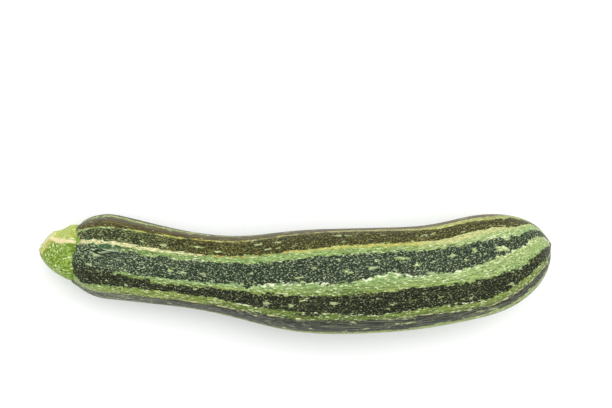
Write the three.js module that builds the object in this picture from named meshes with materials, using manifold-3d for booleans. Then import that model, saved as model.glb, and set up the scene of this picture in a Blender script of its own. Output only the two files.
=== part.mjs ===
// A striped courgette, picked with a stub of its stem and lying on its side.
//
// Units are millimetres and degrees. +X runs along the courgette from the stem to the blossom end, +Z is up,
// and +Y is the inside of its bow. The origin is on the resting surface, under the middle of the courgette.
//
// Two pieces: the fruit, with its ten ribs and the scar that the blossom left, and the five-angled stem.
import * as THREE from "three";
import { mergeVertices } from "three/addons/utils/BufferGeometryUtils.js";
import Module from "manifold-3d";

const wasm = await Module();
wasm.setup();

// The fruit: its length from the stem's seat to the scar, and its diameters in order along it.
const FRUIT_LENGTH = 203;
const SEAT_DIAMETER = 24;
const SHOULDER_DIAMETER = 36.4;
const WAIST_DIAMETER = 32.5;
const BELLY_DIAMETER = 45.6;
const TAIL_DIAMETER = 44.2;

// How far the shoulder and the blossom dome reach along the fruit.
const SHOULDER_REACH = 15;
const DOME_REACH = 33;

// The bow: how far the middle of the fruit lies to the side of its stem end and of its blossom end.
const STEM_BOW = 12.2;
const BLOSSOM_BOW = 16.4;

// How far the waist is clear of the surface, and how far the underside is pressed flat where it rests.
const WAIST_CLEARANCE = 3.4;
const PRESSED_DEPTH = 0.4;

// Ribs. Main ribs run on from the stem's ridges, and a side rib lies half way between each two.
const MAIN_RIBS = 5;
const FIRST_RIB_ANGLE = 23;
const RIB_TWIST = 7;
const PANEL_FLATNESS = 0.45;
const MAIN_RIB_HEIGHT = 0.9;
const MAIN_RIB_SPREAD = 9;
const MAIN_RIB_FADE = 30;

// The scar: a corky button on the tip of the dome.
const SCAR_DIAMETER = 3.6;
const SCAR_HEIGHT = 0.8;

// The stem: its foot takes its size from the fruit's seat, and it narrows and leans aside to a slanting cut.
const STEM_LENGTH = 12.6;
const STEM_END_DIAMETER = 11;
const STEM_SWELL = 1.2;
const STEM_HOLLOW = 0.15;
const STEM_RISE = 1.2;
const STEM_LEAN = 3.6;
const CUT_TURN = 40;
const CUT_TILT = 9;
const STEM_CLEARANCE = 0.3;

// Mesh fineness.
const SEGMENTS_PER_PANEL = 6;
const SHOULDER_STEPS = 5;
const BODY_STEPS = 24;
const DOME_STEPS = 11;
const STEM_STEPS = 9;
const STEM_SEGMENTS_PER_FACE = 8;

const PANELS = 2 * MAIN_RIBS;
const PANEL_ANGLE = 360 / PANELS;
const FACE_ANGLE = 360 / MAIN_RIBS;
const UP = new THREE.Vector3(0, 0, 1);

const { clamp, degToRad, lerp, radToDeg, smoothstep } = THREE.MathUtils;
const cosine = (degrees) => Math.cos(degToRad(degrees));

// The angle from the nearest of several equally spaced lines, the first of them at zero.
function offLine(angle, spacing) {
  return angle - spacing * Math.round(angle / spacing);
}

// Diameters between the shoulder and the dome, as [distance from the seat, radius].
function bodyOutline() {
  const span = FRUIT_LENGTH - SHOULDER_REACH - DOME_REACH;
  const at = (share) => SHOULDER_REACH + share * span;
  const shoulder = SHOULDER_DIAMETER / 2;
  const waist = WAIST_DIAMETER / 2;
  const belly = BELLY_DIAMETER / 2;
  const tail = TAIL_DIAMETER / 2;
  return new THREE.SplineCurve([
    new THREE.Vector2(at(0), shoulder),
    new THREE.Vector2(at(0.11), lerp(shoulder, waist, 0.58)),
    new THREE.Vector2(at(0.23), waist),
    new THREE.Vector2(at(0.34), lerp(waist, belly, 0.16)),
    new THREE.Vector2(at(0.48), lerp(waist, belly, 0.76)),
    new THREE.Vector2(at(0.59), belly),
    new THREE.Vector2(at(0.76), belly),
    new THREE.Vector2(at(0.88), tail),
    new THREE.Vector2(at(1), tail),
  ]);
}

// The fruit's outline from the seat to the scar, as points of [radius, distance]: an elliptical shoulder, a
// body through its diameters, an elliptical dome and the button of the scar.
function fruitOutline() {
  const seat = SEAT_DIAMETER / 2;
  const shoulder = SHOULDER_DIAMETER / 2;
  const tail = TAIL_DIAMETER / 2;
  const scar = SCAR_DIAMETER / 2;
  const points = [new THREE.Vector2(0, 0)];

  const seatAngle = Math.acos(seat / shoulder);
  const shoulderDepth = SHOULDER_REACH / Math.sin(seatAngle);
  for (let i = 0; i < SHOULDER_STEPS; i++) {
    const angle = seatAngle * (1 - i / SHOULDER_STEPS);
    const distance = SHOULDER_REACH - shoulderDepth * Math.sin(angle);
    points.push(new THREE.Vector2(shoulder * Math.cos(angle), distance));
  }

  for (const { x, y } of bodyOutline().getSpacedPoints(BODY_STEPS)) points.push(new THREE.Vector2(y, x));

  const scarAngle = Math.acos(scar / tail);
  const domeDepth = DOME_REACH / Math.sin(scarAngle);
  for (let i = 1; i <= DOME_STEPS; i++) {
    const angle = (scarAngle * i) / DOME_STEPS;
    const distance = FRUIT_LENGTH - DOME_REACH + domeDepth * Math.sin(angle);
    points.push(new THREE.Vector2(tail * Math.cos(angle), distance));
  }

  points.push(new THREE.Vector2(0.84 * scar, FRUIT_LENGTH + 0.8 * SCAR_HEIGHT));
  points.push(new THREE.Vector2(0.4 * scar, FRUIT_LENGTH + SCAR_HEIGHT));
  points.push(new THREE.Vector2(0, FRUIT_LENGTH + 0.7 * SCAR_HEIGHT));
  return points;
}

// The fruit's centre line. It bows to the side, and each point is about as high as the fruit's radius there,
// so that the shoulder, the belly and the tail rest on the surface and the waist is clear of it.
function fruitSpine() {
  const shoulder = SHOULDER_DIAMETER / 2;
  const waist = WAIST_DIAMETER / 2;
  const belly = BELLY_DIAMETER / 2;
  const tail = TAIL_DIAMETER / 2;
  const at = (share, side, height) => new THREE.Vector3(share * FRUIT_LENGTH, side, height - PRESSED_DEPTH);
  return new THREE.CatmullRomCurve3([
    at(0, STEM_BOW, shoulder + 0.6),
    at(0.075, 0.84 * STEM_BOW, shoulder),
    at(0.17, 0.57 * STEM_BOW, lerp(shoulder, waist + WAIST_CLEARANCE, 0.6)),
    at(0.27, 0.32 * STEM_BOW, waist + WAIST_CLEARANCE),
    at(0.38, 0.1 * STEM_BOW, lerp(waist + WAIST_CLEARANCE, belly, 0.5)),
    at(0.5, 0, belly),
    at(0.62, 0.02 * BLOSSOM_BOW, belly),
    at(0.74, 0.12 * BLOSSOM_BOW, lerp(belly, tail, 0.5)),
    at(0.86, 0.43 * BLOSSOM_BOW, tail + 0.3),
    at(1, BLOSSOM_BOW, tail + 1.6),
  ]);
}

// The fruit's ring: flatter than a circle between its ribs, and raised along each main rib near the stem.
function fruitRing(radius, angle, distance) {
  const toRib = offLine(angle, PANEL_ANGLE);
  const fromMiddle = PANEL_ANGLE / 2 - Math.abs(toRib);
  const flat = cosine(PANEL_ANGLE / 2) / cosine(fromMiddle);
  const toMainRib = offLine(angle, FACE_ANGLE) / MAIN_RIB_SPREAD;
  const rise = MAIN_RIB_HEIGHT * Math.exp(-distance / MAIN_RIB_FADE - toMainRib ** 2);
  const dome = smoothstep(distance, FRUIT_LENGTH - DOME_REACH / 2, FRUIT_LENGTH);
  return radius * lerp(1, flat, PANEL_FLATNESS * (1 - dome)) + rise;
}

// The ribs turn a little round the fruit between its waist and its belly.
function ribAngle(distance) {
  return FIRST_RIB_ANGLE + RIB_TWIST * smoothstep(distance, 0.3 * FRUIT_LENGTH, 0.6 * FRUIT_LENGTH);
}

// Bends a lathed shape along a curve. The lathe's axis becomes the curve, and an outline that is longer than
// the curve runs straight on past its end. The angle round the lathe becomes the angle from straight up
// towards +Y. ring(radius, angle, distance) gives each point its radius, and turn(distance) turns a ring.
function bend(outline, segments, curve, length, { ring, turn, towardsX }) {
  const hand = towardsX ? 1 : -1;
  const shape = new THREE.LatheGeometry(outline, segments);
  const position = shape.getAttribute("position");
  const point = new THREE.Vector3();
  for (let i = 0; i < position.count; i++) {
    point.fromBufferAttribute(position, i);
    const distance = point.y;
    const circle = Math.hypot(point.x, point.z);
    const around = -hand * radToDeg(Math.atan2(point.x, point.z));
    const radius = circle > 0 ? ring(circle, around, distance) : 0;
    const angle = degToRad(around + turn(distance));

    const share = distance / length;
    const onCurve = clamp(share, 0, 1);
    const along = curve.getTangentAt(onCurve);
    const centre = curve.getPointAt(onCurve).addScaledVector(along, (share - onCurve) * curve.getLength());
    const up = UP.clone().addScaledVector(along, -UP.dot(along)).normalize();
    const side = up.clone().cross(along).multiplyScalar(hand);
    centre.addScaledVector(up, radius * Math.cos(angle)).addScaledVector(side, radius * Math.sin(angle));
    position.setXYZ(i, centre.x, centre.y, centre.z);
  }
  return shape;
}

// A closed geometry as a solid that can be cut, and the cut solid as a geometry.
function solidOf(geometry) {
  const bare = geometry.clone().deleteAttribute("normal").deleteAttribute("uv");
  const merged = mergeVertices(bare, 1e-3);
  return new wasm.Manifold(
    new wasm.Mesh({
      numProp: 3,
      vertProperties: merged.getAttribute("position").array,
      triVerts: new Uint32Array(merged.index.array),
    }),
  );
}

function geometryOf(solid) {
  const { vertProperties, triVerts } = solid.getMesh();
  const geometry = new THREE.BufferGeometry();
  geometry.setAttribute("position", new THREE.BufferAttribute(vertProperties, 3));
  geometry.setIndex(new THREE.BufferAttribute(triVerts, 1));
  geometry.computeVertexNormals();
  return geometry;
}

// The resting surface, as a block that the fruit is pressed flat against.
function restingBlock() {
  const size = 2 * FRUIT_LENGTH;
  return new THREE.BoxGeometry(size, size, size).translate(FRUIT_LENGTH / 2, 0, -size / 2);
}

function makeFruit(spine) {
  const whole = bend(fruitOutline(), PANELS * SEGMENTS_PER_PANEL, spine, FRUIT_LENGTH, {
    ring: fruitRing,
    turn: ribAngle,
    towardsX: true,
  });
  const geometry = geometryOf(solidOf(whole).subtract(solidOf(restingBlock())));
  const skin = new THREE.MeshStandardMaterial({ color: 0x47583a, roughness: 0.42, metalness: 0 });
  const fruit = new THREE.Mesh(geometry, skin);
  fruit.name = "fruit";
  return fruit;
}

// The stem's outline from its seat to well past the cut, as points of [radius, distance]. Its foot is as
// wide as the seat and the main ribs that it runs on from.
function stemOutline() {
  const foot = SEAT_DIAMETER / 2 + MAIN_RIB_HEIGHT;
  const end = STEM_END_DIAMETER / 2;
  const points = [new THREE.Vector2(0, STEM_CLEARANCE)];
  for (let i = 0; i <= STEM_STEPS; i++) {
    const share = i / STEM_STEPS;
    const radius = lerp(foot, end, share) + STEM_SWELL * Math.sin(Math.PI * share);
    points.push(new THREE.Vector2(radius, lerp(STEM_CLEARANCE, STEM_LENGTH, share)));
  }
  points.push(new THREE.Vector2(0.7 * end, STEM_LENGTH + 0.5 * end));
  points.push(new THREE.Vector2(0, STEM_LENGTH + 0.8 * end));
  return points;
}

// The stem's ring: a ridge in line with each main rib, and between ridges a hollow that deepens to the cut.
function stemRing(radius, angle, distance) {
  const hollow = STEM_HOLLOW * Math.min(1, 0.25 + distance / STEM_LENGTH);
  return radius * (1 - (hollow * (1 - cosine(MAIN_RIBS * angle))) / 2);
}

// The knife: a block whose face crosses the stem, turned aside so that the cut slants across the stem, and
// tilted so that the cut faces a little upwards.
function knifeBlock(centre) {
  const size = 4 * SEAT_DIAMETER;
  const block = new THREE.BoxGeometry(size, size, size).translate(-size / 2, 0, 0);
  block.rotateY(degToRad(CUT_TILT)).rotateZ(degToRad(-CUT_TURN));
  return block.translate(centre.x, centre.y, centre.z);
}

// The stem's centre line: square to the seat where it starts, so that the foot is parallel to the seat, and
// leaning aside and upwards where it ends.
function stemLine(spine) {
  const seat = spine.getPointAt(0);
  const outwards = spine.getTangentAt(0).negate();
  const at = (share) => seat.clone().addScaledVector(outwards, share * STEM_LENGTH);
  const tip = at(1).add(new THREE.Vector3(0, STEM_LEAN, STEM_RISE));
  return new THREE.CubicBezierCurve3(seat, at(1 / 3), at(2 / 3), tip);
}

function makeStem(spine) {
  const line = stemLine(spine);
  const whole = bend(stemOutline(), MAIN_RIBS * STEM_SEGMENTS_PER_FACE, line, STEM_LENGTH, {
    ring: stemRing,
    turn: () => FIRST_RIB_ANGLE,
    towardsX: false,
  });
  const geometry = geometryOf(solidOf(whole).subtract(solidOf(knifeBlock(line.getPoint(1)))));
  const skin = new THREE.MeshStandardMaterial({ color: 0x8fa34a, roughness: 0.6, metalness: 0 });
  const stem = new THREE.Mesh(geometry, skin);
  stem.name = "stem";
  return stem;
}

const courgette = new THREE.Group();
const spine = fruitSpine();
courgette.add(makeFruit(spine), makeStem(spine));

// The origin goes under the middle of the courgette; the resting surface is already at zero height.
const middle = new THREE.Box3().setFromObject(courgette).getCenter(new THREE.Vector3());
courgette.position.set(-middle.x, -middle.y, 0);

export default courgette;
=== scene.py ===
# %% [markdown]
# # A striped courgette on a white table
#
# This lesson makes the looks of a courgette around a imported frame. The frame is a plain model of the same
# courgette at its real size. It says where everything is, and nothing here moves it or makes it larger. The
# finished courgette has two pieces: the striped fruit and the cut stub of its stem.
#
# A real courgette grows straight or bowed from the same plan: five ribs run on from the five ridges of the
# stem, five fainter ones grow between them, and the pale stripes lie along the ribs. So the fruit is
# modelled straight, painted while it is straight, and bent afterwards, and the pattern bends with it.

# %% Load the frame
import bmesh
import bpy
import math

import numpy as np
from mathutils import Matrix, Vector


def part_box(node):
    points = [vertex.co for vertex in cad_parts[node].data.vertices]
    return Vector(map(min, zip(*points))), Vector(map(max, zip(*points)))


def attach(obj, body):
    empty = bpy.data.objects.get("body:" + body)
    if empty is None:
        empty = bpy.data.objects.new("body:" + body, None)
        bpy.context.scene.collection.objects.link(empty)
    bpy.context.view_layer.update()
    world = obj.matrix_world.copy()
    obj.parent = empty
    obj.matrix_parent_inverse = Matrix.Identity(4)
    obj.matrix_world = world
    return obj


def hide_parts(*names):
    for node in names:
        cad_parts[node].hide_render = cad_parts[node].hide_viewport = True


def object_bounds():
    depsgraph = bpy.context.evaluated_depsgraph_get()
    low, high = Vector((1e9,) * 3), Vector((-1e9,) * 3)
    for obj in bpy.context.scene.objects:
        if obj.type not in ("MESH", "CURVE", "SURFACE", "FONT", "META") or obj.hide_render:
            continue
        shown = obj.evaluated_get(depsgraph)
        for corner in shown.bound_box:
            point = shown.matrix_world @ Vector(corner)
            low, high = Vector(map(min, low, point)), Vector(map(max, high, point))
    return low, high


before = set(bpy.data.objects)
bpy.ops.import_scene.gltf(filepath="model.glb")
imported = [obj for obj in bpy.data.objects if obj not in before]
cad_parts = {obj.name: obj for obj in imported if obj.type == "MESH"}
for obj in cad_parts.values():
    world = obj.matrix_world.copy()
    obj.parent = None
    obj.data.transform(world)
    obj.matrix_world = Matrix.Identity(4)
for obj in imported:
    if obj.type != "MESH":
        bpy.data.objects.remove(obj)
cad_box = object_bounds()
MM = 0.001
frame_sides = [round(side / MM, 1) for side in cad_box[1] - cad_box[0]]
print("frame nodes:", sorted(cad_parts), "size in mm:", frame_sides)

# %% [markdown]
# ## Measuring the frame
#
# Everything that follows takes its place from the frame. A slice across a node at one place along X gives
# the middle of the courgette there and how thick it is. A person would hold a ruler against the model in a
# side view. Here a few lines of code cut each edge of the node with a plane and take the lowest and highest
# points.

# %% Slices across a node


def corner_places(mesh):
    """The place of each corner of a mesh, as an array with a row for each."""
    places = np.empty(3 * len(mesh.vertices))
    mesh.vertices.foreach_get("co", places)
    return places.reshape(-1, 3)


def slice_across(node, x):
    """The lowest and the highest (y, z) of a frame node where the plane at x cuts it."""
    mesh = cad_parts[node].data
    ends = np.empty(2 * len(mesh.edges), int)
    mesh.edges.foreach_get("vertices", ends)
    start, stop = corner_places(mesh)[ends.reshape(-1, 2)].transpose(1, 0, 2)
    cut = (start[:, 0] - x) * (stop[:, 0] - x) < 0
    share = (x - start[cut, 0]) / (stop[cut, 0] - start[cut, 0])
    points = start[cut] + (stop[cut] - start[cut]) * share[:, None]
    return points[:, 1:].min(0), points[:, 1:].max(0)


fruit_low, fruit_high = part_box("fruit")
stem_low, stem_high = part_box("stem")
print("fruit from", round(fruit_low.x / MM, 1), "to", round(fruit_high.x / MM, 1), "mm")
print("stem from", round(stem_low.x / MM, 1), "to", round(stem_high.x / MM, 1), "mm")

# %% [markdown]
# ## The fruit's centre line
#
# A bent fruit can be made by bending a straight one along a curve. The curve here runs through the middles
# of the frame's slices, and ends at the two points that slices can't give: the middle of the seat that the
# stem stands on, found by going straight on from the first two middles, and the tip with the blossom scar,
# which is the frame's furthest point. The ribs stand at an angle from straight up, and turn a little round
# the fruit between its waist and its belly. A curve holds that too, as the tilt of its points.

# %% Draw the centre line
MIDDLE_SHARES = (0.07, 0.13, 0.2, 0.27, 0.34, 0.41, 0.48, 0.55, 0.62, 0.69, 0.76, 0.82)
SEAT_INSET = 1.6 * MM
RIB_ANGLE = 23
RIB_TWIST = 7
TWIST_SHARES = (0.3, 0.6)
STEPS_OF_A_LINE = 24


def middle_at(share):
    """The middle of the fruit at a share of its length."""
    x = fruit_low.x + share * (fruit_high.x - fruit_low.x)
    low, high = slice_across("fruit", x)
    return Vector((x, *(low + high) / 2))


def smooth_step(value, start, stop):
    """0 before start, 1 after stop, and a smooth slope between them."""
    share = np.clip((value - start) / (stop - start), 0, 1)
    return share * share * (3 - 2 * share)


def rib_angle(share):
    """The angle of the first rib from straight up, in degrees, at a share of the fruit's length."""
    return RIB_ANGLE + RIB_TWIST * smooth_step(share, *TWIST_SHARES)


def draw_line(name, places, angles):
    """A smooth curve through places, tilted at each by an angle in degrees, and its length."""
    data = bpy.data.curves.new(name, "CURVE")
    data.dimensions = "3D"
    data.twist_mode = "Z_UP"
    data.resolution_u = STEPS_OF_A_LINE
    spline = data.splines.new("BEZIER")
    spline.bezier_points.add(len(places) - 1)
    for knot, place, angle in zip(spline.bezier_points, places, angles):
        knot.co = place
        knot.handle_left_type = "AUTO"
        knot.handle_right_type = "AUTO"
        knot.tilt = -math.radians(angle)
    line = bpy.data.objects.new(name, data)
    bpy.context.collection.objects.link(line)
    return line, spline.calc_length()


middles = [middle_at(share) for share in MIDDLE_SHARES]
seat_x = fruit_low.x + SEAT_INSET
lead = (middles[0] - middles[1]) / (middles[0].x - middles[1].x)
seat = middles[0] + lead * (seat_x - middles[0].x)
tip = max((corner.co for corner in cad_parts["fruit"].data.vertices), key=lambda place: place.x).copy()
centres = [seat, *middles, tip]
centre_line, FRUIT_LENGTH = draw_line(
    "centre_line", centres, [rib_angle(share) for share in (0, *MIDDLE_SHARES, 1)]
)
print("centre line:", len(centres), "points,", round(FRUIT_LENGTH / MM, 1), "mm long")

# %% [markdown]
# ## The fruit, straight
#
# The fruit could be a lathed profile, a stretched sphere or a row of rings. Rings are the easiest to
# control: a flat disc is the seat, and its edge is extruded ring after ring to the tip. Each ring is then
# scaled about the axis to the thickness that the frame has there. Six corners lie between each two of the
# ten ribs, so that a row of corners runs along every rib.

# %% Rings from the seat to the tip
RIBS = 10
CORNERS = 6 * RIBS
SEAT_RADIUS = 12 * MM
SHOULDER = 15 * MM
DOME = 33 * MM
SCAR_RADIUS = 1.5 * MM
SHOULDER_RINGS = 5
BODY_RINGS = 26
DOME_RINGS = 11
lengths = np.concatenate([[0], np.cumsum([(b - a).length for a, b in zip(centres, centres[1:])])])


def half_height(distance):
    """Half the fruit's height where its centre line is this long."""
    x = np.interp(distance, lengths, [centre.x for centre in centres])
    low, high = slice_across("fruit", x)
    return (high[1] - low[1]) / 2


def ring_plan():
    """The rings of the straight fruit as (distance, radius): a shoulder, a body and a dome."""
    shoulder_radius = half_height(SHOULDER)
    start = math.acos(SEAT_RADIUS / shoulder_radius)
    for step in range(1, SHOULDER_RINGS):
        angle = start * (1 - step / SHOULDER_RINGS)
        yield SHOULDER * (1 - math.sin(angle) / math.sin(start)), shoulder_radius * math.cos(angle)
    for distance in np.linspace(SHOULDER, FRUIT_LENGTH - DOME, BODY_RINGS):
        yield distance, half_height(distance)
    tail_radius = half_height(FRUIT_LENGTH - DOME)
    stop = math.acos(SCAR_RADIUS / tail_radius)
    for step in range(1, DOME_RINGS + 1):
        angle = stop * step / DOME_RINGS
        yield FRUIT_LENGTH - DOME * (1 - math.sin(angle) / math.sin(stop)), tail_radius * math.cos(angle)


def start_piece(name):
    """Names the object that an operator has just added, and gives it its place in its mesh."""
    piece = bpy.context.object
    piece.name = name
    bpy.ops.object.transform_apply(location=True, rotation=True, scale=True)
    return piece


def pick(piece, wanted, grown=False):
    """In edit mode, selects only the corners whose place, or grown place, is wanted, and counts them."""
    mesh = bmesh.from_edit_mesh(piece.data)
    layer = mesh.verts.layers.float_vector["grown"] if grown else None
    for corner in mesh.verts:
        corner.select = wanted(corner[layer] if grown else corner.co)
    mesh.select_flush_mode()
    bmesh.update_edit_mesh(piece.data)
    return sum(corner.select for corner in mesh.verts)


def grow_rings(name, corners, radius, rings):
    """A disc whose edge is extruded along X to a ring at each (distance, radius), and closed in a point."""
    bpy.ops.object.select_all(action="DESELECT")
    bpy.ops.mesh.primitive_circle_add(
        vertices=corners, radius=radius, fill_type="TRIFAN", rotation=(0, math.pi / 2, 0)
    )
    piece = start_piece(name)
    bpy.ops.object.mode_set(mode="EDIT")
    bpy.context.tool_settings.mesh_select_mode = (True, False, False)
    pick(piece, lambda place: place.length > radius / 2)
    before, width = 0, radius
    for distance, wider in rings:
        bpy.ops.mesh.extrude_region_move(TRANSFORM_OT_translate={"value": (distance - before, 0, 0)})
        spread = wider / width
        bpy.ops.transform.resize(value=(1, spread, spread), center_override=(distance, 0, 0))
        before, width = distance, wider
    bpy.ops.mesh.extrude_region_move(TRANSFORM_OT_translate={"value": (0, 0, 0)})
    bpy.ops.mesh.merge(type="CENTER")
    bpy.ops.mesh.select_all(action="SELECT")
    bpy.ops.mesh.normals_make_consistent(inside=False)
    bpy.ops.object.mode_set(mode="OBJECT")
    return piece


fruit = grow_rings("striped_fruit", CORNERS, SEAT_RADIUS, ring_plan())
print("straight fruit:", len(fruit.data.vertices), "corners")

# %% [markdown]
# ## Remembering the straight fruit
#
# The pattern of a courgette follows its growth and not the room that it lies in. So each corner remembers
# where it was on the straight fruit, in an attribute named "grown". Materials read it in place of a UV map:
# it has no seam, and a fleck drawn in it has the same size all over.

# %% Keep the straight places


def remember_straight(piece):
    """Keeps the place of each corner of a straight piece in its attribute named grown."""
    grown = piece.data.attributes.new("grown", "FLOAT_VECTOR", "POINT")
    straight = corner_places(piece.data)
    grown.data.foreach_set("vector", straight.ravel())
    return straight


straight_fruit = remember_straight(fruit)
print("straight fruit reaches", [round(side / MM, 1) for side in straight_fruit.max(0)])

# %% [markdown]
# ## Bending and fitting
#
# Three modifiers finish the shape, and each is applied as by hand. Curve bends the straight fruit along the
# centre line and turns its ribs. Shrinkwrap lays the rings on the frame, ribs, flat underside and all, so
# the piece has the frame's size. Subdivision Surface rounds off the facets.

# %% Apply the modifiers


def apply_modifier(piece, kind, **settings):
    """Adds a modifier to a piece, sets it up and applies it."""
    bpy.context.view_layer.objects.active = piece
    modifier = piece.modifiers.new(kind.lower(), kind)
    for name, value in settings.items():
        setattr(modifier, name, value)
    bpy.ops.object.modifier_apply(modifier=modifier.name)


apply_modifier(fruit, "CURVE", object=centre_line, deform_axis="POS_X")
bent = corner_places(fruit.data)
print("bent fruit from", (bent.min(0) / MM).round(1), "to", (bent.max(0) / MM).round(1))
apply_modifier(fruit, "SHRINKWRAP", target=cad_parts["fruit"], wrap_method="NEAREST_SURFACEPOINT")
moved = np.linalg.norm(corner_places(fruit.data) - bent, axis=1)
print("the fit moved corners by", round(moved.mean() / MM, 2), "mm, at most", round(moved.max() / MM, 2))

# %% [markdown]
# ## Lobes round the stem
#
# Round the stem the dark skin swells over the joint in five soft lobes, one between each two main ribs. The
# seat's edge is picked there by its place on the straight fruit, pulled towards the stem and spread a
# little, while it is still coarse. Then the subdivision makes it round.

# %% Pull the lobes and smooth the fruit
MAIN_RIBS = 5
LOBE_REACH = 1.3 * MM
LOBE_SPREAD = 1.07
LOBE_WAVE = -0.1
SEAT_EDGE = 0.1 * MM


def on_lobe(place):
    """True on the seat's edge, half way between two main ribs."""
    on_edge = place.x < SEAT_EDGE and place.length > SEAT_RADIUS / 2
    return on_edge and math.cos(MAIN_RIBS * math.atan2(place.y, place.z)) < LOBE_WAVE


def open_piece(piece):
    """Selects one piece alone and opens it in edit mode."""
    bpy.ops.object.select_all(action="DESELECT")
    piece.select_set(True)
    bpy.context.view_layer.objects.active = piece
    bpy.ops.object.mode_set(mode="EDIT")


outwards = -lead.normalized()
open_piece(fruit)
pulled = pick(fruit, on_lobe, grown=True)
bpy.ops.transform.translate(value=outwards * LOBE_REACH)
bpy.ops.transform.resize(value=(1, LOBE_SPREAD, LOBE_SPREAD), center_override=seat)
bpy.ops.object.mode_set(mode="OBJECT")
apply_modifier(fruit, "SUBSURF", levels=2, render_levels=2)
bpy.ops.object.shade_smooth()
print("corners pulled into lobes:", pulled)
print("finished fruit:", len(fruit.data.polygons), "faces")

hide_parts("fruit")
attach(fruit, "root")
bpy.data.objects.remove(centre_line)

# %% [markdown]
# ## Where the stripes lie
#
# A stripe is painted as a distance in millimetres from its edge, plus inside it and minus outside. A
# material can push such a distance about with noise and then cut it off at zero, which gives a crisp and
# ragged edge on a coarse mesh, where a painted colour would give a blurred one. Each stripe is a few given
# rows: how far along the fruit, where its middle lies round it in degrees from the first rib, and how many
# degrees wide it is. The stripes from -108 to 72 are on the side that shows. The others are made up in the
# same manner.

# %% Rows for the stripes
STRIPES = {
    0: ((0, -4, 9), (30, -6, 12), (60, 1, 11), (90, 4, 13), (120, 8, 13), (140, 10, 12), (165, 6, 15),
        (195, 8, 18), (206, 42, 18)),
    -36: ((18, -42, 2), (40, -45, 10), (70, -38, 8), (90, -35, 14), (120, -37, 14), (136, -31, 21),
          (150, -34, 12), (175, -36, 18), (195, -31, 26), (206, -8, 38)),
    -72: ((0, -82, 18), (15, -71, 14), (60, -68, 14), (90, -67, 11), (130, -73, 8), (150, -70, 11),
          (175, -77, 13), (204, -64, 14)),
    -108: ((0, -114, 5), (60, -104, 7), (110, -107, 9), (150, -106, 10), (204, -98, 12)),
    36: ((0, 22, 4), (25, 24, 3), (50, 33, 3), (90, 41, 4), (130, 42, 5), (160, 37, 8), (185, 36, 11),
         (205, 64, 26)),
    72: ((0, 59, 9), (30, 55, 9), (60, 61, 7), (100, 70, 6), (150, 74, 8), (205, 92, 22)),
    108: ((0, 108, 8), (60, 109, 10), (120, 110, 12), (180, 110, 18), (204, 120, 22)),
    144: ((0, 143, 8), (50, 144, 12), (100, 146, 15), (160, 143, 16), (204, 150, 18)),
    180: ((12, 180, 2), (40, 180, 10), (100, 182, 9), (140, 181, 14), (204, 186, 20)),
    216: ((0, 215, 14), (60, 216, 12), (120, 215, 11), (180, 216, 20), (204, 224, 20)),
}
ROUND_TURN = 360
FAR_OUTSIDE = -99.0
START_SLOPE = 0.4


def read_vectors(mesh, name):
    """The vectors of an attribute as an array with a row for each corner."""
    values = np.empty(3 * len(mesh.vertices))
    mesh.attributes[name].data.foreach_get("vector", values)
    return values.reshape(-1, 3)


def rows_at(rows, distance):
    """Each column of the rows after the first, where the fruit is this long in millimetres."""
    columns = np.array(rows, float).T
    return [np.interp(distance, columns[0], column) for column in columns[1:]]


def degrees_from(angle, around):
    """How far round from an angle each corner is, from -180 to 180."""
    return (around - angle + ROUND_TURN / 2) % ROUND_TURN - ROUND_TURN / 2


places = read_vectors(fruit.data, "grown") / MM
along = places[:, 0]
girth = np.hypot(places[:, 1], places[:, 2])
around = np.degrees(np.arctan2(places[:, 1], places[:, 2]))
per_degree = np.radians(1) * girth
edges = {}
stripe = np.full(len(along), FAR_OUTSIDE)
owner = np.zeros(len(along))
for rib, rows in STRIPES.items():
    middle, width = rows_at(rows, along)
    above = (degrees_from(middle, around) + width / 2) * per_degree
    below = (width / 2 - degrees_from(middle, around)) * per_degree
    edges[rib] = above, below
    depth = np.minimum(above, below)
    first_row = rows[0][0]
    if first_row > 0:
        depth = np.minimum(depth, START_SLOPE * (along - first_row))
    owner[depth > stripe] = rib
    stripe = np.maximum(stripe, depth)
print("stripes cover", round(100 * float((stripe > 0).mean())), "% of the corners")

# %% [markdown]
# ## Patches and notches
#
# Here and there a pale patch stands alone in the dark skin or swells from a stripe, and a dark notch cuts
# into one. Each is an ellipse that is added to the distance or taken from it, so the same noise makes it
# ragged. A row says how far along and how far round it lies, and half its length and half its width in
# millimetres.

# %% Pale patches and dark notches
PALE_PATCHES = (
    (118, -18, 2.0, 0.8), (130, -7, 1.6, 0.7), (147, -14, 1.8, 0.9), (143, -5, 2.4, 0.5),
    (169, -19, 1.3, 0.9), (174, -9, 1.3, 0.9), (186, -14, 2.4, 1.3), (112, -31, 1.4, 0.8),
    (43, -26, 1.0, 0.7), (144, -56, 1.8, 0.6), (155, -55, 1.3, 0.6), (112, -55, 1.2, 0.7),
    (100, -47, 1.6, 0.9), (167, -62, 2.2, 0.5), (178, -42, 2.4, 0.8), (141, -87, 4.5, 0.5),
    (172, -90, 4.0, 0.7), (62, 14, 2.4, 0.4), (52, 18, 2.0, 0.5), (120, 30, 3.0, 0.4),
    (155, 25, 3.5, 0.4), (40, 124, 2.0, 0.8), (88, 160, 2.6, 0.8), (150, 128, 2.2, 0.9),
    (128, 197, 2.4, 0.8), (60, 228, 2.0, 0.7),
)
DARK_NOTCHES = (
    (77, -31, 2.4, 1.3), (163, 1, 1.4, 0.7), (190, -15, 1.6, 0.8), (193, -8, 2.8, 0.5),
    (100, -66, 3.0, 0.6),
)


def ellipse(distance, angle, half_length, half_width):
    """A distance that is plus inside an ellipse on the skin, and its half width at the middle."""
    sideways = degrees_from(angle, around) * per_degree
    reach = np.hypot((along - distance) / half_length, sideways / half_width)
    return half_width * (1 - reach)


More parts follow.
